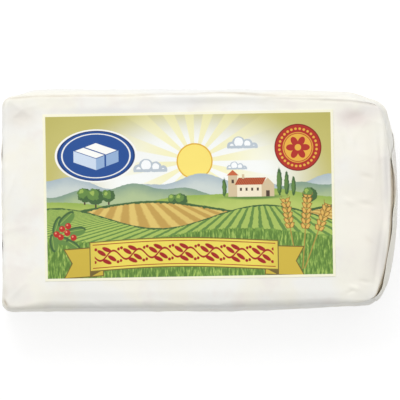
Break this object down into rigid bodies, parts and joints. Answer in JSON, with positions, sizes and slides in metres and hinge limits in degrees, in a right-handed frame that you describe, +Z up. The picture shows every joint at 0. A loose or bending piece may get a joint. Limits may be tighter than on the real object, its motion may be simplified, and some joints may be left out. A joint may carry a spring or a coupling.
{
  "type": "wrapped block of taleggio cheese",
  "caption": "Half block of soft taleggio cheese shut in a white paper wrap with folded ends, lying flat with a printed paper label on top.",
  "frame": {"origin": "middle of the base of the pack's box, on the surface that it lies on", "axes": "+X along the pack, to the end whose fold has sprung open, +Y across it, to the top edge of the printed label, +Z up, out of the labelled face"},
  "size_m": [0.1984, 0.111, 0.0468],
  "materials": {
    "white_wrap_paper": "matte",
    "printed_label_paper": "satin"
  },
  "bodies": {
    "root": {"wrapped_cheese": "white_wrap_paper", "label": "printed_label_paper"}
  },
  "joints": []
}
